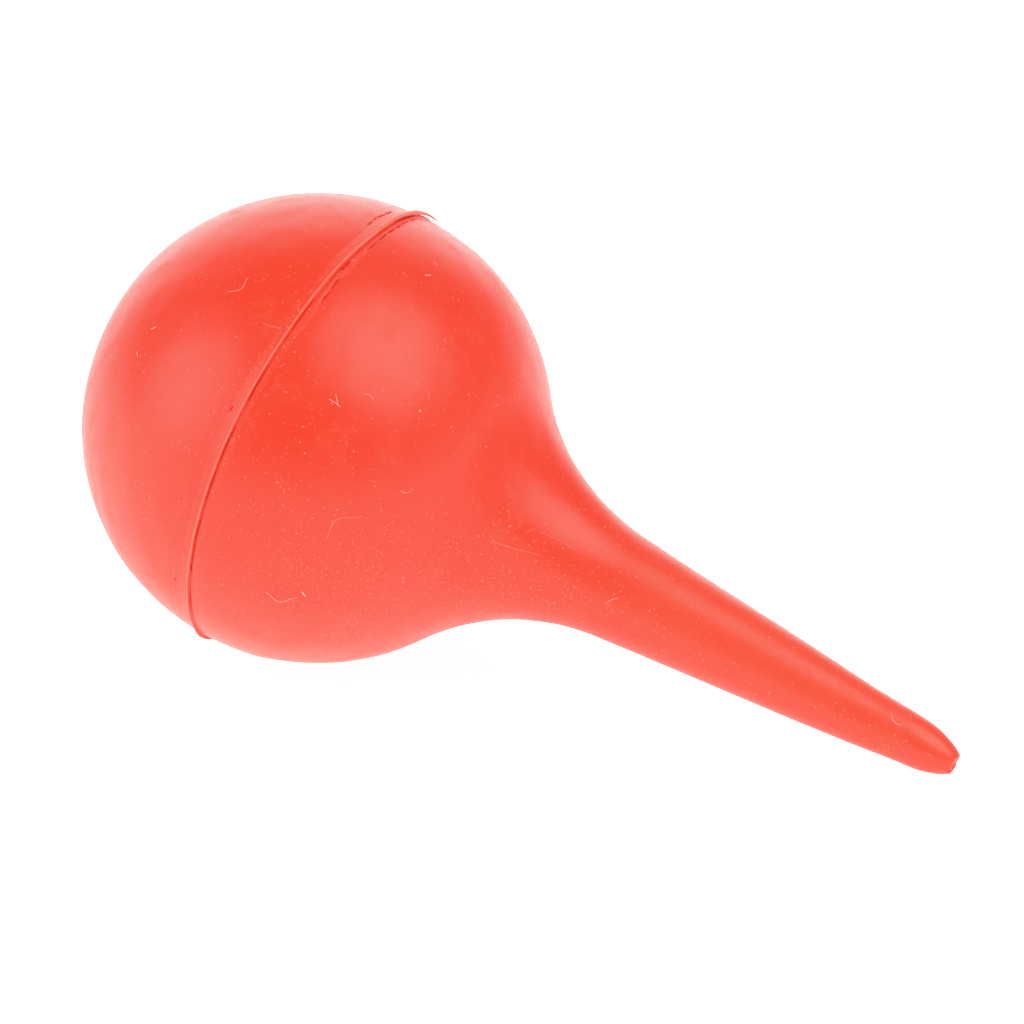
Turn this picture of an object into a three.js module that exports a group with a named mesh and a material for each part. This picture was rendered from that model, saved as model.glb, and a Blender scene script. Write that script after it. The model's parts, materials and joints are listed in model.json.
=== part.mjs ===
// Soft rubber bulb with a tapered spout: a round hollow ball, moulded in two halves that meet
// at the ball's widest circle, and a long spout drawn out of the front half.
// Millimetres, +Z up. The bulb lies on a flat surface, on the underside of the ball and on
// the underside of the spout's tip, with the spout towards +X.
import * as THREE from 'three';

// Ball and wall
const BALL_RADIUS = 30;
const WALL = 2.4;
const PAD_RIM_ANGLE = 36; // degrees from the rear pole to the rim of the thumb pad
const FOLD_RIM_ANGLE = 62; // and to the outer rim of the wall that folds in around it

// Spout: a straight taper joined to the ball by one hollow fillet
const FILLET_RADIUS = 30.3;
const TAPER_RADIUS = 5.56; // outer radius of the taper at TAPER_RADIUS_X
const TAPER_RADIUS_X = 60;
const TAPER_SLOPE = 0.089; // loss of radius per millimetre of length
const FLEX_START_X = 50;
const FLEX_END_X = 72;
const NOSE_START_X = 87.3;
const TIP_X = 92.6;
const TIP_RADIUS = 1.5;
const BORE_RADIUS = 0.75;
const NOSE_STEPS = 5;

// Parting line: the web where the halves are bonded, and the thin fin squeezed out of it
const WEB_THICKNESS = 0.8;
const FIN_HEIGHT = 0.7;
const FIN_ROOT_THICKNESS = 0.5;
const FIN_EDGE_THICKNESS = 0.3;

const JOINT_GAP = 0.3; // clear distance between neighbouring solids
const SEGMENTS = 48; // flats around the axis
const FLAT = Math.cos(Math.PI / SEGMENTS); // distance of a flat from the axis, over the radius

const RUBBER = { color: 0xe8401c, roughness: 0.55, metalness: 0 };
const FLASH_RUBBER = { color: 0xf0714f, roughness: 0.6, metalness: 0 };

const radians = THREE.MathUtils.degToRad;

// The profile is drawn in (x, r): x along the axis from the ball's centre, r from the axis.
const slopeAngle = Math.atan(TAPER_SLOPE);
const taperNormal = new THREE.Vector2(Math.sin(slopeAngle), Math.cos(slopeAngle));
const taperAlong = new THREE.Vector2(Math.cos(slopeAngle), -Math.sin(slopeAngle));
const taperDistance = taperNormal.dot(new THREE.Vector2(TAPER_RADIUS_X, TAPER_RADIUS));

// The fillet's centre lies one fillet radius outside both the ball and the taper.
const centreDistance = BALL_RADIUS + FILLET_RADIUS;
const centreOut = taperDistance + FILLET_RADIUS;
const filletCentre = taperNormal.clone().multiplyScalar(centreOut)
  .addScaledVector(taperAlong, Math.sqrt(centreDistance ** 2 - centreOut ** 2));
const ballFilletAngle = filletCentre.angle();
const filletStartAngle = ballFilletAngle + Math.PI;
const filletEndAngle = taperNormal.angle() + Math.PI;

function polar(centre, radius, angle) {
  return new THREE.Vector2(
    centre.x + radius * Math.cos(angle),
    centre.y + radius * Math.sin(angle),
  );
}

// Three stretches of the wall, each returning the profile point at a depth below the skin.
const ORIGIN = new THREE.Vector2(0, 0);
const ballWall = (angle, depth) => polar(ORIGIN, BALL_RADIUS - depth, angle);
const filletWall = (angle, depth) => polar(filletCentre, FILLET_RADIUS + depth, angle);
function taperWall(x, depth) {
  const skin = new THREE.Vector2(x, TAPER_RADIUS - TAPER_SLOPE * (x - TAPER_RADIUS_X));
  return skin.addScaledVector(taperNormal, -depth);
}

function stretch(wall, from, to, steps, depth) {
  const points = [];
  for (let i = 0; i <= steps; i += 1) {
    points.push(wall(THREE.MathUtils.lerp(from, to, i / steps), depth));
  }
  return points;
}

// A band of wall between two stations: the skin forwards, then the inside backwards.
function band(stretches) {
  const skin = stretches.flatMap(([wall, from, to, steps]) => stretch(wall, from, to, steps, 0));
  const inside = stretches.flatMap(([wall, from, to, steps]) => (
    stretch(wall, from, to, Math.max(1, Math.round(steps * 0.8)), WALL)));
  return [...skin, ...inside.reverse()];
}

function withoutRepeats(points) {
  return points.filter((p, i) => i === 0 || p.distanceTo(points[i - 1]) > 0.001);
}

// Turns a profile about the axis, which then lies along +X, with a flat facing straight down.
function turned(name, profile, finish) {
  const outline = withoutRepeats(profile).map((p) => new THREE.Vector2(Math.max(p.y, 0), p.x));
  const closed = outline[0].x < 0.001 ? outline : [...outline, outline[0].clone()];
  const geometry = new THREE.LatheGeometry(closed, SEGMENTS, Math.PI / SEGMENTS);
  geometry.rotateZ(-Math.PI / 2);
  const mesh = new THREE.Mesh(geometry, new THREE.MeshStandardMaterial(finish));
  mesh.name = name;
  return mesh;
}

const halfGapAngle = JOINT_GAP / 2 / BALL_RADIUS;
const padRimAngle = Math.PI - radians(PAD_RIM_ANGLE);
const foldRimAngle = Math.PI - radians(FOLD_RIM_ANGLE);
const seamAngle = (WEB_THICKNESS / 2 + JOINT_GAP) / BALL_RADIUS;

// Thumb pad: the rear end of the ball, closed on the axis.
function rearPad() {
  return turned('rear_pad', band([[ballWall, Math.PI, padRimAngle + halfGapAngle, 8]]), RUBBER);
}

// Push fold: the ring of wall that folds in when the thumb pad is pressed.
function pushFold() {
  const from = padRimAngle - halfGapAngle;
  return turned('push_fold', band([[ballWall, from, foldRimAngle + halfGapAngle, 6]]), RUBBER);
}

// Rear wall: the ring of ball between the fold and the parting line, which keeps its shape.
function rearWall() {
  const from = foldRimAngle - halfGapAngle;
  return turned('rear_wall', band([[ballWall, from, Math.PI / 2 + seamAngle, 6]]), RUBBER);
}

// Parting flash: the bonded web inside the wall, with the thin fin standing out of it.
function partingFlash() {
  const web = WEB_THICKNESS / 2;
  const edge = BALL_RADIUS + FIN_HEIGHT;
  const profile = [
    [-web, BALL_RADIUS - WALL],
    [-web, BALL_RADIUS],
    [-FIN_ROOT_THICKNESS / 2, BALL_RADIUS],
    [-FIN_EDGE_THICKNESS / 2, edge],
    [FIN_EDGE_THICKNESS / 2, edge],
    [FIN_ROOT_THICKNESS / 2, BALL_RADIUS],
    [web, BALL_RADIUS],
    [web, BALL_RADIUS - WALL],
  ].map(([x, r]) => new THREE.Vector2(x, r));
  return turned('parting_flash', profile, FLASH_RUBBER);
}

// Front shell: from the parting line to where the ball runs into the fillet.
function frontShell() {
  const to = ballFilletAngle + halfGapAngle;
  return turned('front_shell', band([[ballWall, Math.PI / 2 - seamAngle, to, 12]]), RUBBER);
}

// Neck: the hollow fillet and the first straight length of the spout.
function neck() {
  const from = filletStartAngle + JOINT_GAP / 2 / FILLET_RADIUS;
  const taperStart = filletWall(filletEndAngle, 0).x;
  return turned('neck', band([
    [filletWall, from, filletEndAngle, 11],
    [taperWall, taperStart, FLEX_START_X - JOINT_GAP / 2, 1],
  ]), RUBBER);
}

// Spout bend: the length of spout that gives when the tip is bent aside.
function spoutBend() {
  const from = FLEX_START_X + JOINT_GAP / 2;
  const to = FLEX_END_X - JOINT_GAP / 2;
  return turned('spout_bend', band([[taperWall, from, to, 5]]), RUBBER);
}

// The skin of the spout's tip: the last of the taper, then a rounded nose cut off square.
function tipSkin() {
  const skin = stretch(taperWall, FLEX_END_X + JOINT_GAP / 2, NOSE_START_X, 2, 0);
  const start = skin[skin.length - 1];
  const turn = Math.acos(TIP_RADIUS / start.y);
  for (let i = 1; i <= NOSE_STEPS; i += 1) {
    const angle = (turn * i) / NOSE_STEPS;
    const along = (TIP_X - NOSE_START_X) * (Math.sin(angle) / Math.sin(turn));
    skin.push(new THREE.Vector2(NOSE_START_X + along, start.y * Math.cos(angle)));
  }
  return skin;
}

// Spout tip: the end of the channel narrows to a bore that runs out through the nose.
function spoutTip() {
  const inside = taperWall(FLEX_END_X + JOINT_GAP / 2, WALL);
  const boreStart = inside.x + (inside.y - BORE_RADIUS) / TAPER_SLOPE;
  return turned('spout_tip', [
    ...tipSkin(),
    new THREE.Vector2(TIP_X, BORE_RADIUS),
    new THREE.Vector2(boreStart, BORE_RADIUS),
    inside,
  ], RUBBER);
}

// How far the axis dips when the flats under the ball and under the nose lie on one surface.
function dipAngle() {
  const dips = tipSkin().map((skin) => {
    const flat = new THREE.Vector2(skin.x, skin.y * FLAT);
    return Math.asin((BALL_RADIUS * FLAT) / flat.length()) - flat.angle();
  });
  return Math.min(...dips);
}

const bulb = new THREE.Group();
bulb.name = 'bulb';
bulb.add(rearPad(), pushFold(), rearWall(), partingFlash());
bulb.add(frontShell(), neck(), spoutBend(), spoutTip());
bulb.rotation.y = dipAngle();
bulb.updateMatrixWorld(true);

const box = new THREE.Box3().setFromObject(bulb, true);
bulb.position.set(-(box.min.x + box.max.x) / 2, -(box.min.y + box.max.y) / 2, -box.min.z);

const part = new THREE.Group();
part.name = 'rubber_bulb';
part.add(bulb);

export default part;
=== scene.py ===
"""A soft rubber suction bulb lying on a pale bench: the CAD frame under a finely modelled skin."""
import json
import math
import bpy
import numpy as np
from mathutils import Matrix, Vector


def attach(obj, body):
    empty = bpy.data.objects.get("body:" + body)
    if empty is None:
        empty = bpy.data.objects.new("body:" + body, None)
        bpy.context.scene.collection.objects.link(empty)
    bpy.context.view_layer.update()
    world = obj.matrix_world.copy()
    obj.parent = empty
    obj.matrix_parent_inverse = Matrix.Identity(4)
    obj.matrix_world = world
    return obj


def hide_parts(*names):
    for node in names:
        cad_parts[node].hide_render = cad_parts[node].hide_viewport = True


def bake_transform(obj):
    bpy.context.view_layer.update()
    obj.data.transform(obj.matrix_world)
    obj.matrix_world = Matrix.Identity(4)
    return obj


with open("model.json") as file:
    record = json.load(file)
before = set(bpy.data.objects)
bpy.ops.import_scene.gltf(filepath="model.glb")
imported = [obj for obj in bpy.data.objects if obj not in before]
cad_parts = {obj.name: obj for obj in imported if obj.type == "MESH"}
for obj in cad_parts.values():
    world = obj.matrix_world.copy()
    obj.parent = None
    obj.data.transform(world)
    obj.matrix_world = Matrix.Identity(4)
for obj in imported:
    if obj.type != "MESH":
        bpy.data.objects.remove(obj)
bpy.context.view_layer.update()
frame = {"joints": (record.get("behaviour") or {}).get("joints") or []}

MM = 0.001
JOINTS = {joint["name"]: joint for joint in frame["joints"]}

# ---------------------------------------------------------------- the bulb's own frame
# x runs along the bulb's axis from the ball's centre, r is the distance from the axis, and
# phi turns from the top of the lying bulb over its -Y side. Lengths are in millimetres.
AXIS = np.array(Vector(JOINTS["rear_press"]["axis"]).normalized())
RISE = np.array([-AXIS[2], 0.0, AXIS[0]])
SIDE = np.array([0.0, -1.0, 0.0])
HINGE_X = 61.0        # where the spout's hinge crosses the axis
CENTRE = np.array(JOINTS["spout_swing"]["pos_m"]) / MM - HINGE_X * AXIS

BALL = 30.0           # outer radius of the ball
WALL = 2.4
FILLET = 30.3         # radius of the hollow fillet between ball and spout
TAPER_R, TAPER_X, SLOPE = 5.56, 60.0, 0.089  # the spout's radius at one x, and its taper
NOSE_X, TIP_X, TIP_R, BORE_R = 87.3, 92.6, 1.5, 0.75
BAND = 3.0            # half the width of the strip that carries the parting line
BAND_OVERLAP = 0.12   # how far the strip reaches into each half
BAND_SUNK = 0.015     # how far the strip's edges lie below the halves' skin
LAND = 0.055          # height of the buffed land beside the parting line
FADE = 4.0            # length over which the unevenness dies away
AROUND = 288          # points around the ball and spout
AROUND_BAND = 1152    # points around the parting strip
WANDER_WAVES = 8      # waves that add up to one wandering line

slope_angle = math.atan(SLOPE)
taper_normal = np.array([math.sin(slope_angle), math.cos(slope_angle)])
taper_along = np.array([math.cos(slope_angle), -math.sin(slope_angle)])
centre_out = taper_normal @ (TAPER_X, TAPER_R) + FILLET
fillet_centre = taper_normal * centre_out + taper_along * math.sqrt(
    (BALL + FILLET) ** 2 - centre_out ** 2)
fillet_angle = math.atan2(fillet_centre[1], fillet_centre[0])


def place(x, r, phi):
    """Places in the scene, in metres, from arrays of x, r and phi."""
    x, r, phi = np.broadcast_arrays(x, r, phi)
    across = np.cos(phi)[..., None] * RISE + np.sin(phi)[..., None] * SIDE
    return (CENTRE + x[..., None] * AXIS + r[..., None] * across) * MM


def skin_radius(x):
    """Outer radius of the smooth bulb at x."""
    if x <= BALL * math.cos(fillet_angle):
        return math.sqrt(max(BALL ** 2 - x ** 2, 0.0))
    if x <= (fillet_centre - FILLET * taper_normal)[0]:
        return fillet_centre[1] - math.sqrt(FILLET ** 2 - (x - fillet_centre[0]) ** 2)
    if x <= NOSE_X:
        return TAPER_R - SLOPE * (x - TAPER_X)
    start = TAPER_R - SLOPE * (NOSE_X - TAPER_X)
    turn = math.acos(TIP_R / start)
    share = min((x - NOSE_X) / (TIP_X - NOSE_X), 1.0)
    return start * math.cos(math.asin(share * math.sin(turn)))


def arc(centre, radius, start, end, count):
    """Points (x, r) along a round stretch of the profile, between two angles."""
    angle = np.linspace(start, end, count)
    return np.stack([centre[0] + radius * np.cos(angle), centre[1] + radius * np.sin(angle)], 1)


def angles_round(count):
    """Evenly spaced angles round the axis, in radians."""
    return np.arange(count) * 2 * math.pi / count


def signed_degrees(phi):
    """phi in degrees, from -180 to 180."""
    return (np.degrees(phi) + 180) % 360 - 180


def ripple(x, r, phi, length, height, seed, waves=9):
    """A smooth, seeded unevenness over the surface, in millimetres, of about the given wave
    length and height."""
    rng = np.random.default_rng(seed)
    p = np.stack(np.broadcast_arrays(x, r * np.cos(phi), r * np.sin(phi)), -1)
    total = 0.0
    for _ in range(waves):
        k = rng.normal(size=3)
        k *= 2 * math.pi / length / np.linalg.norm(k) * rng.uniform(0.6, 1.5)
        total = total + np.sin(p @ k + rng.uniform(0, 2 * math.pi))
    return total * height / math.sqrt(waves)


def wander(phi, seed, lowest, highest, height):
    """A seeded wavy function of phi that closes on itself. Its waves number from lowest to
    just under highest in one turn."""
    rng = np.random.default_rng(seed)
    total = 0.0
    for k in rng.integers(lowest, highest, WANDER_WAVES):
        total = total + np.sin(k * phi + rng.uniform(0, 2 * math.pi))
    return total * height / math.sqrt(WANDER_WAVES)


def bump(value, centre, width):
    """A smooth bell, 1 high at its centre."""
    return np.exp(-(((value - centre) / width) ** 2))


def with_bumps(base, value, rows):
    """The base with bells added to it, each a row (height, centre, width)."""
    total = base
    for height, centre, width in rows:
        total = total + height * bump(value, centre, width)
    return total


def nose_rise(x):
    """How far the nose of the spout is turned up."""
    return 0.20 * bump(x, 86.0, 4.5)


# ---------------------------------------------------------------- mesh building
def new_object(name, data):
    """An object that shows data, in the scene."""
    obj = bpy.data.objects.new(name, data)
    bpy.context.scene.collection.objects.link(obj)
    return obj


def marked_mesh(name, points, faces, rest, marks):
    """A smooth mesh. rest holds each point's place in the bulb's frame, in millimetres, and
    marks are (name, values) pairs: masks that the material reads at each point."""
    mesh = bpy.data.meshes.new(name)
    mesh.from_pydata(points.tolist(), [], faces)
    mesh.polygons.foreach_set("use_smooth", np.ones(len(mesh.polygons), bool))
    layer = mesh.attributes.new("rest_mm", "FLOAT_VECTOR", "POINT")
    layer.data.foreach_set("vector", rest.astype(np.float32).ravel())
    for mark, values in marks:
        layer = mesh.attributes.new(mark, "FLOAT", "POINT")
        layer.data.foreach_set("value", values.astype(np.float32).ravel())
    return mesh


def ring_faces(first, rows, around, closed):
    """Outward faces between neighbouring rings of points, and from the last ring back to the
    first where closed says so. first is the number of the first ring's first point."""
    ring = np.arange(around)
    following = np.roll(ring, -1)
    faces = []
    for i in range(rows if closed else rows - 1):
        a = first + i * around
        b = first + ((i + 1) % rows) * around
        faces.append(np.stack([a + ring, b + ring, b + following, a + following], 1))
    return np.concatenate(faces)[:, ::-1].tolist()


def cap_faces(first, rows, around):
    """Outward triangles from the first and the last point to the rings next to them."""
    ring = np.arange(around)
    following = np.roll(ring, -1)
    last_ring = first + (rows - 1) * around
    last_point = last_ring + around
    start = np.stack([np.zeros(around, int), first + ring, first + following], 1)
    end = np.stack([np.full(around, last_point), last_ring + following, last_ring + ring], 1)
    return np.concatenate([start, end])[:, ::-1].tolist()


def mesh_piece(name, x, r, phi, capped, material, marks=()):
    """A closed solid turned about the axis. x and r are (stations, around); the stations go
    along the outside and back inside. capped says that the first and last lie on the axis."""
    stations, around = x.shape
    points = place(x, r, phi)
    rest = np.stack([x, r * np.cos(phi), r * np.sin(phi)], -1)
    if capped:
        points, rest = [np.vstack([grid[0, :1], grid[1:-1].reshape(-1, 3), grid[-1, :1]])
                        for grid in (points, rest)]
        faces = ring_faces(1, stations - 2, around, False) + cap_faces(1, stations - 2, around)
    else:
        points, rest = points.reshape(-1, 3), rest.reshape(-1, 3)
        faces = ring_faces(0, stations, around, True)
    mesh = marked_mesh(name, points, faces, rest, marks)
    mesh.update()
    mesh.set_sharp_from_angle(angle=math.radians(65))
    mesh.materials.append(material)
    return new_object(name, mesh)


def loop(outer, inner):
    """The outside and back along the inside."""
    return np.vstack([outer, inner[::-1]])


def uneven(profile, normals, phi, fade):
    """The profile swept round with the moulding's slight unevenness along its normals."""
    x = np.repeat(profile[:, :1], len(phi), 1)
    r = np.repeat(profile[:, 1:], len(phi), 1)
    lift = ripple(x, r, phi, 26.0, 0.07, 11) + ripple(x, r, phi, 6.0, 0.020, 12, 16)
    lift = lift * fade[:, None]
    return x + lift * normals[:, :1], np.maximum(r + lift * normals[:, 1:], 0.0)


# ---------------------------------------------------------------- materials
# Colours are linear red, green and blue.
DEEP, BODY, PALE = (0.64, 0.028, 0.004), (0.66, 0.033, 0.006), (0.69, 0.058, 0.022)
# Painted reflection of the bright bench on the ball's underside.
FLOOR_REFLECTION_PAINT = (0.72, 0.110, 0.075)
COARSE_DUST, FINE_DUST = (0.90, 0.27, 0.19), (0.88, 0.22, 0.15)
# Pale torn rubber that also serves as a painted highlight, and painted shade for cracks and recesses.
TORN_AND_HIGHLIT_RUBBER, RECESS_SHADE_PAINT = (0.95, 0.22, 0.15), (0.56, 0.008, 0.003)
BARE_FIBRE, DUSTY_FIBRE = (0.70, 0.055, 0.030), (0.95, 0.62, 0.52)
BENCH_DARK, BENCH_PALE = (0.68, 0.68, 0.68), (0.72, 0.72, 0.72)


class Shading:
    """The shader nodes of one material. Most methods add a node and return its output."""

    def __init__(self, name):
        self.material = bpy.data.materials.new(name)
        self.material.use_nodes = True
        self.nodes = self.material.node_tree.nodes
        self.surface = self.nodes["Principled BSDF"].inputs

    def feed(self, socket, value):
        """Gives a socket a fixed value, a colour or another node's output."""
        if isinstance(value, bpy.types.NodeSocket):
            self.material.node_tree.links.new(value, socket)
        elif socket.type == "RGBA":
            socket.default_value = (*value, 1.0)
        else:
            socket.default_value = value

    def add(self, kind, **inputs):
        """A new node. An input's name has underscores for its spaces."""
        node = self.nodes.new(kind)
        for name, value in inputs.items():
            self.feed(node.inputs[name.replace("_", " ")], value)
        return node

    def attribute(self, name, output="Fac"):
        """A value, or with output "Vector" a place, that the mesh holds at each point."""
        node = self.add("ShaderNodeAttribute")
        node.attribute_name = name
        return node.outputs[output]

    def noise(self, where, scale, detail=2.0, roughness=0.55):
        return self.add("ShaderNodeTexNoise", Vector=where, Scale=scale, Detail=detail,
                        Roughness=roughness).outputs["Fac"]

    def stretched(self, where, by):
        node = self.add("ShaderNodeVectorMath")
        node.operation = "MULTIPLY"
        self.feed(node.inputs[0], where)
        self.feed(node.inputs[1], by)
        return node.outputs["Vector"]

    def spread(self, value, low, high, to_low=0.0, to_high=1.0):
        """Turns the range low to high smoothly into to_low to to_high."""
        node = self.add("ShaderNodeMapRange")
        node.interpolation_type = "SMOOTHSTEP"
        ends = {"Value": value, "From Min": low, "From Max": high, "To Min": to_low, "To Max": to_high}
        for name, end in ends.items():
            self.feed(node.inputs[name], end)
        return node.outputs["Result"]

    def maths(self, kind, *values):
        node = self.add("ShaderNodeMath")
        node.operation = kind
        for socket, value in zip(node.inputs, values):
            self.feed(socket, value)
        return node.outputs["Value"]

    def times(self, a, b):
        return self.maths("MULTIPLY", a, b)

    def plus(self, a, b):
        return self.maths("ADD", a, b)

    def mixed(self, amount, a, b):
        """Colour a, turning to colour b as amount goes from 0 to 1."""
        node = self.add("ShaderNodeMix")
        node.data_type = "RGBA"
        colours = [socket for socket in node.inputs if socket.type == "RGBA"]
        self.feed(node.inputs["Factor"], amount)
        self.feed(colours[0], a)
        self.feed(colours[1], b)
        return next(socket for socket in node.outputs if socket.type == "RGBA")

    def ramp(self, value, low, low_colour, high, high_colour):
        node = self.add("ShaderNodeValToRGB", Fac=value)
        stops = ((low, low_colour), (high, high_colour))
        for element, (position, colour) in zip(node.color_ramp.elements, stops):
            element.position = position
            element.color = (*colour, 1.0)
        return node.outputs["Color"]

    def specks(self, where, cell, size, density):
        """Round dots, from half of size to size in radius. They lie about a cell apart, and
        density is the share of them that shows."""
        scatter = self.add("ShaderNodeTexVoronoi", Vector=where, Scale=1.0 / cell)
        split = self.add("ShaderNodeSeparateColor", Color=scatter.outputs["Color"])
        smallest = 0.5 * size / cell
        radius = self.plus(self.times(split.outputs["Green"], smallest), smallest)
        inside = self.maths("SUBTRACT", 1.0, self.maths("DIVIDE", scatter.outputs["Distance"], radius))
        kept = self.maths("LESS_THAN", split.outputs["Red"], density)
        return self.times(self.spread(self.times(inside, 1.8), 0.0, 0.5), kept)


def dustiness(s, rest, along, up, grit):
    """How thick the dust lies. It gathers low on the front of the ball and round the shoulder,
    thins out along the spout, and sticks to the gritty land beside the parting line."""
    gathered = s.times(s.spread(up, 14.0, -20.0), s.spread(along, 0.0, 20.0))
    gathered = s.times(gathered, s.spread(along, 66.0, 38.0, 0.18, 1.0))
    drift = s.spread(s.noise(rest, 0.11, detail=3.0), 0.36, 0.62)
    dusty = s.times(s.plus(s.times(gathered, 1.4), 0.07), s.plus(s.times(drift, 0.6), 0.4))
    return s.plus(s.maths("MAXIMUM", dusty, grit), 0.03)


def rubber(name):
    """Soft red rubber with a cloudy bloom, dust specks, smears and moulding grain. Three marks on the
    mesh steer it: one says where the rubber is torn and paints a highlight there, along the fin's
    crest, the land and the end's rim; one paints shade into the cracks, the groove at the fin's foot,
    the notch at the tip and the bore; and one says where the land is gritty."""
    s = Shading(name)
    rest = s.attribute("rest_mm", "Vector")
    torn_and_highlight, recess_painted_shade, grit = [s.attribute(mark) for mark in ("torn_and_highlight", "recess_painted_shade", "grit")]
    place_of = s.add("ShaderNodeSeparateXYZ", Vector=rest)
    along, up = place_of.outputs["X"], place_of.outputs["Y"]

    # Masks, each from 0 to 1.
    dusty = dustiness(s, rest, along, up, grit)
    cloud = s.spread(s.noise(rest, 0.05), 0.38, 0.66)
    smeared = s.stretched(rest, (1.0, 0.45, 1.6))
    smear = s.spread(s.noise(smeared, 0.22, detail=4.0, roughness=0.6), 0.50, 0.72)
    grain = s.noise(rest, 2.6, detail=5.0, roughness=0.68)
    coarse = s.specks(rest, 0.54, 0.165, dusty)
    fine = s.specks(rest, 0.33, 0.115, s.plus(dusty, 0.05))
    # Painted light: the top of the spout is paler, as if lit from above.
    spout_top_painted_light = s.times(s.spread(along, 30.0, 56.0), s.spread(up, -2.5, 3.5))
    # Painted reflection: the lower part is paler, standing in for the bright bench reflected there.
    painted_floor_reflection = s.spread(up, -15.0, -28.0)

    # Each layer of colour is a mask, its strength and its tint.
    colour = s.mixed(cloud, DEEP, BODY)
    layers = ((smear, 0.30, PALE), (s.spread(grain, 0.45, 0.75), 0.20, PALE), (spout_top_painted_light, 0.85, PALE),
              (painted_floor_reflection, 0.85, FLOOR_REFLECTION_PAINT), (coarse, 0.45, COARSE_DUST), (fine, 0.42, FINE_DUST))
    for mask, strength, tint in layers:
        colour = s.mixed(s.times(mask, strength), colour, tint)
    # Torn rubber, painted paler as a highlight.
    colour = s.mixed(torn_and_highlight, colour, TORN_AND_HIGHLIT_RUBBER)
    # Painted shade in the cracks, the groove at the fin's foot, the notch at the tip and the bore.
    s.feed(s.surface["Base Color"], s.mixed(recess_painted_shade, colour, RECESS_SHADE_PAINT))

    rough = s.spread(grain, 0.3, 0.7, 0.32, 0.43)
    for mask, gain in ((smear, 0.10), (coarse, 0.25), (s.maths("MAXIMUM", torn_and_highlight, recess_painted_shade), 0.25)):
        rough = s.plus(rough, s.times(mask, gain))
    s.feed(s.surface["Roughness"], rough)

    # The relief is in millimetres.
    height = s.times(grain, 0.010)
    for pattern, rise in ((s.noise(rest, 0.8), 0.012), (coarse, 0.035), (fine, 0.020)):
        height = s.plus(height, s.times(pattern, rise))
    relief = s.add("ShaderNodeBump", Strength=1.0, Distance=MM, Height=height)
    s.feed(s.surface["Normal"], relief.outputs["Normal"])
    s.feed(s.surface["IOR"], 1.5)
    return s.material


def lint_material():
    """Fibres from nearly bare rubber to dusty white, as the mark bright says."""
    s = Shading("lint_fibre")
    patches = s.noise(s.attribute("rest_mm", "Vector"), 1.4, roughness=0.5)
    uneven_light = s.maths("MULTIPLY_ADD", patches, 0.5, s.attribute("bright"))
    colour = s.ramp(uneven_light, 0.25, BARE_FIBRE, 1.15 / 1.2, DUSTY_FIBRE)
    s.feed(s.surface["Base Color"], colour)
    s.feed(s.surface["Roughness"], 0.55)
    return s.material


skin = rubber("red_rubber")
flash_skin = rubber("flash_rubber")
lint = lint_material()

# ---------------------------------------------------------------- rear half
PHI = angles_round(AROUND)


def ball_profile(radius, x_from, x_to, count):
    """Points (x, r) along a stretch of the ball, and their normals."""
    start = math.acos(np.clip(x_from / radius, -1, 1))
    end = math.acos(np.clip(x_to / radius, -1, 1))
    points = arc((0, 0), radius, start, end, count)
    return points, points / radius


def rear_half():
    """The rear half of the ball, closed on the axis, up to the parting strip."""
    outer, outer_n = ball_profile(BALL, -BALL, -BAND, 88)
    inner, inner_n = ball_profile(BALL - WALL, -(BALL - WALL), -BAND, 40)
    outer[0, 1] = inner[0, 1] = 0.0
    profile, normals = loop(outer, inner), loop(outer_n, inner_n)
    fade = np.clip((-BAND - profile[:, 0]) / FADE, 0, 1) * np.clip(profile[:, 1] / FADE, 0, 1)
    x, r = uneven(profile, normals, PHI, fade)
    obj = mesh_piece("rear_half", x, r, PHI[None, :], True, skin)
    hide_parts("rear_pad", "push_fold", "rear_wall")
    return obj


# ---------------------------------------------------------------- front half and spout
NOSE_STATIONS = 29
LIP_STEP = 0.12       # how far short of the end face the nose stops, for its rounded rim
BORE_STEP = 0.25      # and how far short of it the bore stops
NOSE_CUT_X = 89.0     # the slanting cut shifts the nose from here on
NOTCH_DEGREES = 112
TEAR = 0.05           # height of the torn rim's roughness

# Across the end face, from the rim in to the bore: x from TIP_X, and the share of the way from
# the bore out to the rim.
LIP = [(0.00, 0.93), (0.03, 0.84), (0.025, 0.66), (0.0, 0.40), (-0.03, 0.20), (-0.12, 0.06)]

# Where the cut end stands out or is cut back round the spout, each (height, degrees, width).
TIP_CUT = [(0.10, 5, 30), (-0.24, -98, 24), (-0.42, NOTCH_DEGREES, 10), (0.06, 90, 6),
           (-0.10, 150, 18)]


def outside_profile():
    """The skin from the parting strip to the nose: ball, fillet, taper and rounded nose."""
    ball = arc((0, 0), BALL, math.acos(BAND / BALL), fillet_angle, 54)
    end_angle = math.pi * 1.5 - slope_angle
    fillet = arc(fillet_centre, FILLET, fillet_angle + math.pi, end_angle, 46)[1:]
    taper_x = np.linspace(fillet[-1][0], NOSE_X, 60)[1:]
    taper = np.stack([taper_x, TAPER_R - SLOPE * (taper_x - TAPER_X)], 1)
    nose_share = np.sin(np.linspace(0, math.pi / 2, NOSE_STATIONS + 1))[1:]
    nose_x = NOSE_X + (TIP_X - LIP_STEP - NOSE_X) * nose_share
    nose = np.array([[x, skin_radius(x)] for x in nose_x])
    return np.vstack([ball, fillet, taper, nose])


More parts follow.
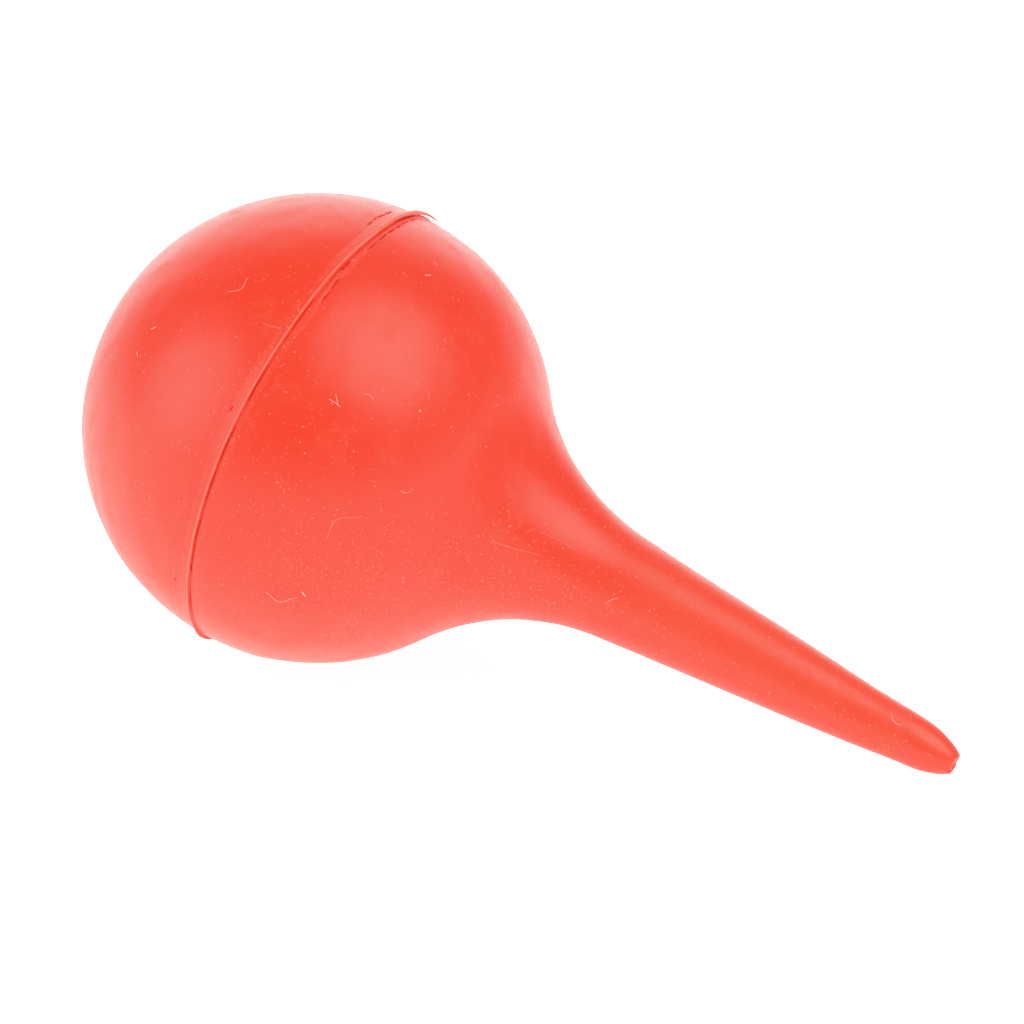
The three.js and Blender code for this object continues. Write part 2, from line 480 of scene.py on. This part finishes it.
def inside_profile():
    """The inside from the parting strip to the end: chamber, funnel, channel and bore."""
    ball = arc((0, 0), BALL - WALL, math.acos(BAND / (BALL - WALL)), fillet_angle, 26)
    end_angle = math.pi * 1.5 - slope_angle
    fillet = arc(fillet_centre, FILLET + WALL, fillet_angle + math.pi, end_angle, 24)[1:]
    channel_end = fillet[-1][0] + (fillet[-1][1] - BORE_R) / SLOPE
    channel_x = np.linspace(fillet[-1][0], channel_end, 24)[1:]
    channel = np.stack([channel_x, BORE_R + SLOPE * (channel_end - channel_x)], 1)
    bore_x = np.linspace(channel_end, TIP_X - BORE_STEP, 22)[1:]
    bore = np.stack([bore_x, np.full(len(bore_x), BORE_R)], 1)
    return np.vstack([ball, fillet, channel, bore])


def outward(profile):
    """Normals of an open profile, to the left of its direction of travel when x grows."""
    along = np.gradient(profile, axis=0)
    normal = np.stack([-along[:, 1], along[:, 0]], 1)
    return normal / np.linalg.norm(normal, axis=1)[:, None]


def tip_cut(phi):
    """How far the hand-cut end stands before or behind TIP_X round the spout."""
    ragged = wander(phi, 21, 2, 5, 0.04) + wander(phi, 22, 9, 22, 0.018)
    return with_bumps(ragged, signed_degrees(phi), TIP_CUT)


def cut_end(x, r, lip, face, torn_edge):
    """Cuts the end across the nose: where it is cut back, the end face is wider. face is the
    stretch of stations on the end face."""
    near = np.clip((x - NOSE_CUT_X) / (TIP_X - NOSE_CUT_X), 0, 1) ** 2
    x = x + near * tip_cut(PHI)[None, :]
    nose = slice(face.start - NOSE_STATIONS, face.start)
    slimmer = 0.27 * bump(x[nose], 91.0, 2.7)
    r[nose] = np.vectorize(skin_radius)(x[nose]) - slimmer
    rim = r[face.start - 1]
    r[face] = BORE_R + (rim - BORE_R) * lip[:, 1:]
    x[face.start:face.stop - 1] += torn_edge * np.sin(math.pi * lip[:-1, 1:])
    return x, r


def shift_bore(x, r, lip, face):
    """Sets the bore off centre, towards the torn notch, and turns the nose up a little."""
    inside = np.zeros_like(x)
    inside[face.start:] = np.clip((x[face.start:] - 80.0) / 8.0, 0, 1)
    inside[face] *= 1 - lip[:, 1:]
    up = r * np.cos(PHI) + nose_rise(x) - 0.16 * inside
    aside = r * np.sin(PHI) + 0.26 * inside
    return np.hypot(up, aside), np.arctan2(aside, up)


def end_marks(x, lip, face, torn_edge):
    """The torn rim of the end face, painted paler as a highlight, and painted shade in the notch and
    the bore.
    """
    torn_and_highlight, recess_painted_shade = np.zeros_like(x), np.zeros_like(x)
    notch = bump(signed_degrees(PHI), NOTCH_DEGREES, 11)[None, :]
    # The rim of the end face is painted paler: a painted highlight along the torn rim.
    edge = lip[:, 1:] * (0.55 + 0.3 * np.clip(torn_edge / TEAR, -1, 1))
    torn_and_highlight[face] = np.clip(edge * (1 - notch), 0, 1)
    torn_and_highlight[face.start - 2:face.start] = 0.25 * (1 - notch)
    # Painted shade in the notch and down the bore.
    recess_painted_shade[face] = notch * 0.7
    recess_painted_shade[face.stop:] = np.clip((x[face.stop:] - 86.0) / 6.0, 0, 1) * 0.8
    return ("torn_and_highlight", torn_and_highlight), ("recess_painted_shade", recess_painted_shade)


def front_half():
    """The front half of the ball with neck, spout and tip, hollow from end to end."""
    outer, inner, lip = outside_profile(), inside_profile(), np.array(LIP)
    face = slice(len(outer), len(outer) + len(lip))
    end_points = np.stack([TIP_X + lip[:, 0], BORE_R + (TIP_R - BORE_R) * lip[:, 1]], 1)
    end_normals = np.tile([[1.0, 0.0]], (len(lip), 1))
    profile = np.vstack([outer, end_points, inner[::-1]])
    normals = np.vstack([outward(outer), end_normals, outward(inner)[::-1]])
    fade = np.clip((profile[:, 0] - BAND) / FADE, 0, 1) * np.clip((TIP_X - profile[:, 0]) / 9, 0, 1)
    fade = fade * np.clip(profile[:, 1] / 12.0, 0.25, 1)
    x, r = uneven(profile, normals, PHI, fade)
    torn_edge = wander(PHI, 24, 12, 60, TEAR)
    x, r = cut_end(x, r, lip, face, torn_edge)
    r, turn = shift_bore(x, r, lip, face)
    marks = end_marks(x, lip, face, torn_edge)
    obj = mesh_piece("front_half", x, r, turn, False, skin, marks)
    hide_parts("front_shell", "neck", "spout_bend", "spout_tip")
    return obj


# ---------------------------------------------------------------- parting line
# Swells and dips round the ball, each (height, degrees, width).
FIN_SWELLS = [(0.10, -2, 10), (0.22, 142, 6), (-0.16, 107.5, 0.8), (-0.15, 160, 9),
              (0.25, -95, 14)]
FIN_TEARS = [(0.5, -24, 12), (0.7, 145, 8), (1.0, -98, 16)]
FIN_LEANS = [(0.22, -26, 10), (0.10, -4, 14), (0.10, 146, 7), (-0.15, -100, 16)]
LAND_SWELLS = [(0.6, 2, 24), (0.3, 45, 25), (0.35, 140, 20)]
ROLLED_OVER = [(0.5, -18, 14), (0.35, 144, 8)]


def seam_x(phi):
    """Where the parting line runs: it strays a little from the ball's widest circle."""
    line = with_bumps(-0.30, signed_degrees(phi), [(-0.42, 70, 30), (0.30, 2, 13)])
    return line + wander(phi, 31, 2, 7, 0.06) + wander(phi, 32, 14, 50, 0.012)


def fin_height(phi):
    """Height of the fin, ragged where it is torn and low where its crest is rolled up."""
    degrees = signed_degrees(phi)
    height = 0.24 + wander(phi, 33, 3, 12, 0.03) + wander(phi, 34, 20, 70, 0.014)
    height = with_bumps(height, degrees, FIN_SWELLS)
    ragged = wander(phi, 35, 40, 160, 1.0)
    tearing = with_bumps(0.0, degrees, FIN_TEARS)
    height = height + 0.06 * tearing * np.clip(ragged, -1.5, 0.6)
    height = height * (1 - 0.85 * bump(degrees, -27, 15))
    return np.clip(height, 0.05, 1.0)


def fin_lean(phi):
    """How far the fin's top leans forward."""
    return with_bumps(0.02 + wander(phi, 36, 2, 9, 0.02), signed_degrees(phi), FIN_LEANS)


def seam_step(phi):
    """How far the rear half's edge stands above the front half's, where they don't quite meet."""
    return 0.10 + 0.05 * bump(signed_degrees(phi), 60, 50) + wander(phi, 37, 2, 10, 0.02)


# Runs of cracks beside the parting line: x from the line, phi from and to (degrees), how many
# cracks the run breaks into, their width and depth.
CRACK_RUNS = [
    (1.0, 9, -21, 7, 0.16, 0.34), (-1.7, 0, -15, 4, 0.13, 0.27), (1.1, 30, 21, 2, 0.14, 0.20),
    (0.5, 19, 15, 2, 0.20, 0.30), (-1.1, 62, 64, 1, 0.14, 0.20), (-1.9, 113, 115, 1, 0.16, 0.26),
    (0.3, 106, 108, 1, 0.16, 0.28), (-1.1, -105, -99, 1, 0.14, 0.25),
    (1.2, -112, -105, 2, 0.15, 0.30), (1.2, 175, 181, 1, 0.14, 0.25),
]
CRACKED_SHARE = 0.82  # of a run; the rest is the gaps between its cracks
CRACK_OPEN = 0.75     # share of a crack's depth that is open
BELL_WIDTH = 0.54     # width of a bell that looks about as wide as a crack of width 1


def cracks_in_runs():
    """Each crack as (x, phi, x, phi, width, depth), with uneven lengths and short gaps."""
    rng = np.random.default_rng(47)
    for x, start, end, count, width, depth in CRACK_RUNS:
        share = np.cumsum(rng.uniform(0.6, 1.4, count))
        share = np.concatenate([[0], share / share[-1]])
        drift = rng.normal(0, 0.08, count + 1)
        for i in range(count):
            first = start + (end - start) * share[i]
            to = share[i] + CRACKED_SHARE * (share[i + 1] - share[i])
            last = start + (end - start) * to
            size = rng.uniform(0.75, 1.25)
            yield (x + drift[i], first, x + drift[i + 1], last, width * size, depth * size)


def crack_depth(x, phi):
    """Depth of the cracks at x from the parting line, as a lens-shaped trench along each."""
    total = np.zeros(np.broadcast(x, phi).shape)
    ragged = wander(phi, 41, 50, 150, 0.025)
    for x0, p0, x1, p1, width, depth in cracks_in_runs():
        middle = math.radians((p0 + p1) / 2)
        turn = (phi - middle + math.pi) % (2 * math.pi) - math.pi
        half = abs(math.radians(p1 - p0)) / 2
        share = np.clip((turn / half + 1) / 2 if p1 > p0 else (1 - turn / half) / 2, 0, 1)
        line = x0 + (x1 - x0) * share + ragged
        beyond = np.maximum(np.abs(turn) - half, 0) * BALL
        distance = np.hypot(x - line, beyond)
        taper = np.sqrt(np.clip(1 - (turn / (half * 1.08)) ** 2, 0.05, 1))
        trench = CRACK_OPEN * depth * taper * bump(distance, 0, width * BELL_WIDTH)
        total = np.maximum(total, trench)
    return total


def trimmed_land(x, phi):
    """The buffed band beside the parting line, where flash was trimmed: slightly proud, with
    an uneven edge that comes and goes round the ball."""
    strength = with_bumps(0.30, signed_degrees(phi), LAND_SWELLS) + wander(phi, 42, 3, 15, 0.15)
    edge = 1.22 + wander(phi, 43, 4, 30, 0.10) + wander(phi, 44, 50, 150, 0.03)
    inside = 1 / (1 + np.exp((np.abs(x) - edge) / 0.07))
    return LAND * np.clip(strength, 0, 1.3) * inside


# The fin's section: x from the parting line, share of the fin's height, and how far that
# point moves forward where the crest is rolled over.
FIN = [(-0.22, 0.0, 0.0), (-0.17, 0.12, 0.0), (-0.14, 0.45, 0.0), (-0.12, 0.82, 0.03),
       (-0.06, 0.97, 0.07), (0.02, 1.0, 0.12), (0.09, 0.96, 0.20), (0.12, 0.84, 0.22),
       (0.12, 0.66, 0.08), (0.13, 0.40, -0.02), (0.15, 0.12, 0.0), (0.19, 0.0, 0.0)]


def band_rows():
    """The strip's stations from rear to front, as x from the parting line, closest together
    beside the fin; and for each the fin's share of its height and its roll."""
    fin = np.array(FIN)
    edge = BAND + BAND_OVERLAP
    behind = np.concatenate([np.linspace(-edge, -2.3, 5), np.linspace(-2.2, -0.34, 20), [-0.26]])
    ahead = np.concatenate([[0.23, 0.29], np.linspace(0.37, 2.2, 20), np.linspace(2.3, edge, 5)])
    rows = np.concatenate([behind, fin[:, 0], ahead])
    rise_and_roll = np.zeros((len(rows), 2))
    rise_and_roll[len(behind):len(behind) + len(fin)] = fin[:, 1:]
    return rows, rise_and_roll[:, :1], rise_and_roll[:, 1:]


def parting_band():
    """The strip round the ball with the parting line, its fin, the land and the cracks."""
    around = angles_round(AROUND_BAND)
    rows, fin_rise, curl = band_rows()
    middle = seam_x(around)[None, :]
    follow = np.clip(1 - (np.abs(rows) / 2.4) ** 2, 0, 1)[:, None]
    x = rows[:, None] + middle * follow
    land = trimmed_land(x - middle, around[None, :])
    cracks = crack_depth(x - middle, around[None, :])
    rear_side = np.where(rows <= 0.09, np.clip(1 + rows / 1.4, 0, 1) ** 2, 0.0)[:, None]
    step = seam_step(around)[None, :] * rear_side
    # A groove runs along the front of the fin's foot.
    foot = 0.11 * bump(rows, 0.25, 0.06)[:, None] * (1 + 0.5 * wander(around, 38, 5, 40, 1.0))
    radius = np.sqrt(BALL ** 2 - x ** 2) + land + step - cracks - np.clip(foot, 0, 0.3)
    radius = radius + fin_height(around)[None, :] * fin_rise
    radius = radius + ripple(x, radius, around[None, :], 1.6, 0.003, 45, 24)
    radius[[0, 1, -2, -1]] -= BAND_SUNK
    rolled = with_bumps(0.0, signed_degrees(around), ROLLED_OVER)
    x = x + fin_lean(around)[None, :] * fin_rise ** 1.6 + curl * rolled[None, :]

    # The fin's crest and, faintly, the land are painted paler: torn rubber with a painted highlight.
    torn_and_highlight = np.clip(0.50 * fin_rise + land / LAND * 0.10, 0, 1) * np.ones_like(x)
    # Painted shade in the cracks and in the groove at the fin's foot.
    recess_painted_shade = np.clip(cracks / 0.10 + 0.55 * bump(rows, 0.25, 0.05)[:, None], 0, 1)
    grit = np.clip(land / LAND * 0.9, 0, 1)
    inner_x = np.array([BAND, 0.0, -BAND])[:, None] + np.zeros((1, AROUND_BAND))
    inner_r = np.sqrt((BALL - WALL) ** 2 - inner_x ** 2)
    marks = [(name, np.vstack([values, np.zeros_like(inner_x)]))
             for name, values in (("torn_and_highlight", torn_and_highlight), ("recess_painted_shade", recess_painted_shade), ("grit", grit))]
    x, radius = np.vstack([x, inner_x]), np.vstack([radius, inner_r])
    obj = mesh_piece("parting_band", x, radius, around[None, :], False, flash_skin, marks)
    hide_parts("parting_flash")
    return obj


# ---------------------------------------------------------------- lint, fibres and scratches
# Each fibre is (x, phi, length, heading, bend, swing, thickness, brightness), in rounded values
# that roughly follow the lint in the photo; those out of its sight are made up. Its middle lies
# at x, phi. The heading is the angle from the axis, bend is how far the fibre turns from end to
# end, and swing how far it sways. Angles are in degrees.
REAR_LINT = [
    (-9.5, 35, 4.0, -65, 0, 40, 0.09, 0.30), (-18, 63, 0.9, 30, 60, 0, 0.07, 0.60),
    (-17.5, 54, 0.8, -40, 0, 0, 0.07, 0.60), (-2.5, 41, 2.8, -10, -20, 0, 0.05, 0.25),
    (-13, -62, 3.0, -20, 40, 30, 0.06, 0.50), (-19.5, 152, 2.2, 40, -50, 0, 0.07, 0.50),
    (-7.5, -122, 2.5, -45, -30, 0, 0.06, 0.50),
]
FRONT_LINT = [
    (9, 50, 1.7, 5, 20, 0, 0.09, 0.40), (9, 49, 1.4, 50, 0, 0, 0.08, 0.40),
    (12, 44, 1.5, 0, 100, 0, 0.08, 0.30), (17.5, 39, 0.4, -90, 0, 0, 0.10, 0.80),
    (20.5, 62, 1.7, -40, -130, 0, 0.08, 0.25), (15.5, 78, 6.0, -58, 10, -35, 0.08, 0.20),
    (11.5, 106, 4.6, 0, 0, 50, 0.09, 0.40), (14, 103, 1.0, 55, 0, 0, 0.10, 1.00),
    (46, 74, 1.9, -55, 50, 0, 0.07, 0.40), (33, 67, 6.5, -8, 0, 4, 0.045, 0.25),
    (37, 47, 5.0, -5, 10, 0, 0.05, 0.20), (84, 35, 2.4, 25, -100, 0, 0.055, 0.45),
    (8, -2, 1.1, 15, 70, 0, 0.07, 0.40), (8.5, 4, 1.0, -60, 0, 0, 0.10, 1.00),
    (14, -71, 3.0, -30, 50, 0, 0.07, 0.50), (32, -97, 3.0, -25, 60, 0, 0.06, 0.50),
    (59, -116, 2.2, -40, 30, 0, 0.06, 0.50),
]
FIBRE_POINTS, FIBRE_SIDES = 36, 6
CREST_POINTS, CREST_SIDES = 90, 10


def strand(x, phi, length, heading, bend, swing):
    """Points (x, phi in degrees) along a fibre that turns and sways evenly."""
    share = np.linspace(0, 1, FIBRE_POINTS)
    angle = np.radians(heading + bend * (share - 0.5) + swing * np.sin(2 * math.pi * share))
    step = length / (FIBRE_POINTS - 1)
    along = np.concatenate([[0], np.cumsum(np.cos(angle[1:]) * step)])
    round_it = np.concatenate([[0], np.cumsum(np.sin(angle[1:]) * step)])
    along, round_it = along - along.mean(), round_it - round_it.mean()
    return x + along, phi + np.degrees(round_it / skin_radius(x))


def unit(vectors):
    return vectors / np.linalg.norm(vectors, axis=1)[:, None]


def in_bulb_frame(points):
    """x, height above the axis and distance beside it, of points in scene millimetres."""
    return (points - CENTRE) @ np.stack([AXIS, RISE, SIDE], 1)


def fibre(x, phi, length, heading, bend, swing, thickness):
    """Rings of points round one fibre that lies on the rubber, thin at both ends, in mm."""
    radius = thickness / 2
    path_x, path_phi = strand(x, phi, length, heading, bend, swing)
    r = np.array([skin_radius(at) for at in path_x]) + radius * 0.6
    r = r + nose_rise(path_x) * np.cos(np.radians(path_phi))
    line = place(path_x, r, np.radians(path_phi)) / MM
    along = unit(np.gradient(line, axis=0))
    out = unit(np.cross(along, np.roll(along, 1, axis=1)))
    across = np.cross(along, out)
    ends = np.sqrt(np.clip(1 - np.linspace(-1, 1, FIBRE_POINTS) ** 6, 0.05, 1))
    turn = angles_round(FIBRE_SIDES)
    ring = (np.cos(turn)[None, :, None] * out[:, None, :]
            + np.sin(turn)[None, :, None] * across[:, None, :])
    return line[:, None, :] + ring * (radius * ends)[:, None, None]


def tube_faces(base):
    """Faces of one fibre whose first point has the number base: its sides, then its ends."""
    faces = []
    for i in range(FIBRE_POINTS - 1):
        a, b = base + i * FIBRE_SIDES, base + (i + 1) * FIBRE_SIDES
        for k in range(FIBRE_SIDES):
            n = (k + 1) % FIBRE_SIDES
            faces.append((a + k, a + n, b + n, b + k))
    last = base + (FIBRE_POINTS - 1) * FIBRE_SIDES
    faces.append(tuple(base + k for k in reversed(range(FIBRE_SIDES))))
    faces.append(tuple(last + k for k in range(FIBRE_SIDES)))
    return faces


def fibres(name, strands):
    """Thin fibres lying on the rubber, each a closed tube with thin ends."""
    points, faces, bright = [], [], []
    size = FIBRE_POINTS * FIBRE_SIDES
    for *shape, brightness in strands:
        faces.extend(tube_faces(len(points) * size))
        points.append(fibre(*shape).reshape(-1, 3))
        bright.append(np.full(size, brightness))
    points = np.vstack(points)
    marks = (("bright", np.concatenate(bright)),)
    mesh = marked_mesh(name, points * MM, faces, in_bulb_frame(points), marks)
    mesh.materials.append(lint)
    return new_object(name, mesh)


def rolled_crest():
    """The fin's crest, rolled into a thread that stands free at its end, over the top."""
    share = np.linspace(0, 1, CREST_POINTS)
    line_x = -0.16 + 0.36 * share + 0.92 * share ** 7
    line_r = BALL + 0.28 + 0.31 * np.sin(2.2 * share) - 0.12 * share ** 8
    line = place(line_x, line_r, np.radians(6 - 41 * share)) / MM
    along = unit(np.gradient(line, axis=0))
    out = unit(np.cross(along, AXIS))
    across = np.cross(along, out)

    # The thread is thickest in its middle, and lumpy.
    rng = np.random.default_rng(51)
    turn = angles_round(CREST_SIDES)
    lumps = 1 + 0.10 * np.sin(
        np.linspace(0, 26, CREST_POINTS)[:, None] + 2 * np.cos(turn) + rng.uniform(0, 6))
    radius = (0.04 + 0.24 * np.sin(math.pi * share ** 1.2))[:, None] * lumps
    tube = (line[:, None, :] + (radius * np.cos(turn))[..., None] * out[:, None, :]
            + (radius * np.sin(turn))[..., None] * across[:, None, :])

    # mesh_piece wants x, r and phi, with each end's middle as the point that closes it.
    rest = in_bulb_frame(tube)
    grids = (rest[..., 0], np.hypot(rest[..., 1], rest[..., 2]),
             np.arctan2(rest[..., 2], rest[..., 1]))
    closed = []
    for grid in grids:
        middles = np.repeat(grid[[0, -1]].mean(1, keepdims=True), CREST_SIDES, 1)
        closed.append(np.vstack([middles[:1], grid, middles[1:]]))
    # The rolled crest is painted paler: torn rubber with a painted highlight.
    marks = (("torn_and_highlight", np.full(CREST_POINTS * CREST_SIDES + 2, 0.45)),)
    obj = mesh_piece("flash_wisp", *closed, True, flash_skin, marks)
    return obj


# ---------------------------------------------------------------- assembly
def on_axis(x):
    """A place on the bulb's axis, in metres."""
    return tuple((CENTRE + x * AXIS) * MM)


rear = rear_half()
front = front_half()
band = parting_band()
rear_lint = fibres("lint_rear", REAR_LINT)
front_lint = fibres("lint_front", FRONT_LINT)
wisp = rolled_crest()

PRESS_FROM, PRESS_TO = on_axis(-1.0), on_axis(-34.0)
BEND_FROM, BEND_TO = on_axis(48.0), on_axis(74.0)
for piece in (rear, rear_lint):
    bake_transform(piece)
    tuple(PRESS_FROM)
    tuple(PRESS_TO)
for piece in (front, front_lint):
    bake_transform(piece)
    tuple(BEND_FROM)
    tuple(BEND_TO)
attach(band, "bulb")
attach(wisp, "bulb")


# ---------------------------------------------------------------- bench, light and camera
BENCH_HALF = 4.0          # metres
LIGHT_DISTANCE = 1.2      # metres, from the place that the soft boxes face
LIT_X = 10.0              # which lies this far along the bulb's axis
# Soft boxes: name, azimuth and elevation, half the angle they cover (degrees), and radiance.
SOFT_BOXES = [("key_box", 83.0, 51.0, 26.0, 3.75), ("left_box", -47.0, 26.5, 24.0, 3.15),
              ("back_box", 212.0, 12.0, 35.0, 1.7)]

# The camera looks at a place inside the bulb. Metres and degrees.
CAMERA_TARGET = Vector((-0.00133, -0.00113, 0.02433))
CAMERA_AZIMUTH, CAMERA_ELEVATION, CAMERA_DISTANCE = 26.181, 24.644, 0.7
CAMERA_LENS = 195.9       # millimetres, for a sensor 36 mm wide

# WHITE is the light that is shown as white. Below it, light in the scene, and how bright it is
# shown, both before the view's own encoding.
WHITE = 1.28
ROLL_OFF = [(0.50, 0.50), (0.70, 0.775), (0.84, 0.905), (0.94, 0.943), (1.08, 0.960), (1.19, 0.981)]


def bench():
    """A pale, faintly lit acrylic bench, as used for shadowless table-top pictures."""
    s = Shading("pale_bench")
    patches = s.add("ShaderNodeTexNoise", Scale=6.0).outputs["Fac"]
    s.feed(s.surface["Base Color"], s.ramp(patches, 0.0, BENCH_DARK, 1.0, BENCH_PALE))
    s.feed(s.surface["Roughness"], 0.9)
    s.feed(s.surface["Specular IOR Level"], 0.1)
    s.feed(s.surface["Emission Color"], (1.0, 1.0, 1.0))
    s.feed(s.surface["Emission Strength"], 1.02)
    mesh = bpy.data.meshes.new("bench")
    corners = [(-BENCH_HALF, -BENCH_HALF, 0), (BENCH_HALF, -BENCH_HALF, 0),
               (BENCH_HALF, BENCH_HALF, 0), (-BENCH_HALF, BENCH_HALF, 0)]
    mesh.from_pydata(corners, [], [(0, 1, 2, 3)])
    mesh.materials.append(s.material)
    obj = new_object("bench", mesh)


def direction(azimuth, elevation):
    """Towards an azimuth, turned from -Y to +X, and an elevation, in degrees."""
    a, e = math.radians(azimuth), math.radians(elevation)
    return Vector((math.sin(a) * math.cos(e), -math.cos(a) * math.cos(e), math.sin(e)))


def aim(obj, target, way, distance):
    """Places a light or camera at a distance along way from its target, facing it."""
    obj.location = target + way * distance
    obj.rotation_mode = "QUATERNION"
    obj.rotation_quaternion = way.to_track_quat("Z", "Y")


def softbox(name, azimuth, elevation, half_angle, radiance):
    """A round soft box that covers half_angle degrees either side of its direction."""
    light = bpy.data.lights.new(name, "AREA")
    light.shape = "DISK"
    light.size = 2 * LIGHT_DISTANCE * math.tan(math.radians(half_angle))
    light.energy = radiance * math.pi * math.pi * (light.size / 2) ** 2
    obj = new_object(name, light)
    aim(obj, Vector(on_axis(LIT_X)), direction(azimuth, elevation), LIGHT_DISTANCE)


def surroundings():
    """An even pale room, whose white walls show only low down."""
    world = bpy.data.worlds.new("pale_room")
    world.use_nodes = True
    nodes, links = world.node_tree.nodes, world.node_tree.links
    coordinates = nodes.new("ShaderNodeTexCoord")
    split = nodes.new("ShaderNodeSeparateXYZ")
    walls = nodes.new("ShaderNodeMapRange")
    walls.interpolation_type = "SMOOTHSTEP"
    walls.inputs["From Min"].default_value = 0.06
    walls.inputs["From Max"].default_value = 0.20
    walls.inputs["To Min"].default_value = 1.0
    walls.inputs["To Max"].default_value = 0.45
    links.new(coordinates.outputs["Generated"], split.inputs["Vector"])
    links.new(split.outputs["Z"], walls.inputs["Value"])
    links.new(walls.outputs["Result"], nodes["Background"].inputs["Strength"])
    nodes["Background"].inputs["Color"].default_value = (1.0, 1.0, 1.0, 1.0)
    bpy.context.scene.world = world


def camera():
    """A long lens, which looks down on the bulb from its -Y side."""
    data = bpy.data.cameras.new("camera")
    data.sensor_width = 36.0
    data.lens = CAMERA_LENS
    data.clip_start, data.clip_end = 0.01, 20.0
    obj = new_object("camera", data)
    aim(obj, CAMERA_TARGET, direction(CAMERA_AZIMUTH, CAMERA_ELEVATION), CAMERA_DISTANCE)
    bpy.context.scene.camera = obj


def response():
    """The standard view, with a curve that keeps the brightest red from being clipped."""
    settings = bpy.context.scene.view_settings
    settings.view_transform = "Standard"
    settings.use_curve_mapping = True
    mapping = settings.curve_mapping
    mapping.white_level = (WHITE, WHITE, WHITE)
    combined = mapping.curves[3]
    for light, shown in ROLL_OFF:
        combined.points.new(light / WHITE, shown)
    mapping.update()


bench()
surroundings()
for box in SOFT_BOXES:
    softbox(*box)
camera()
response()
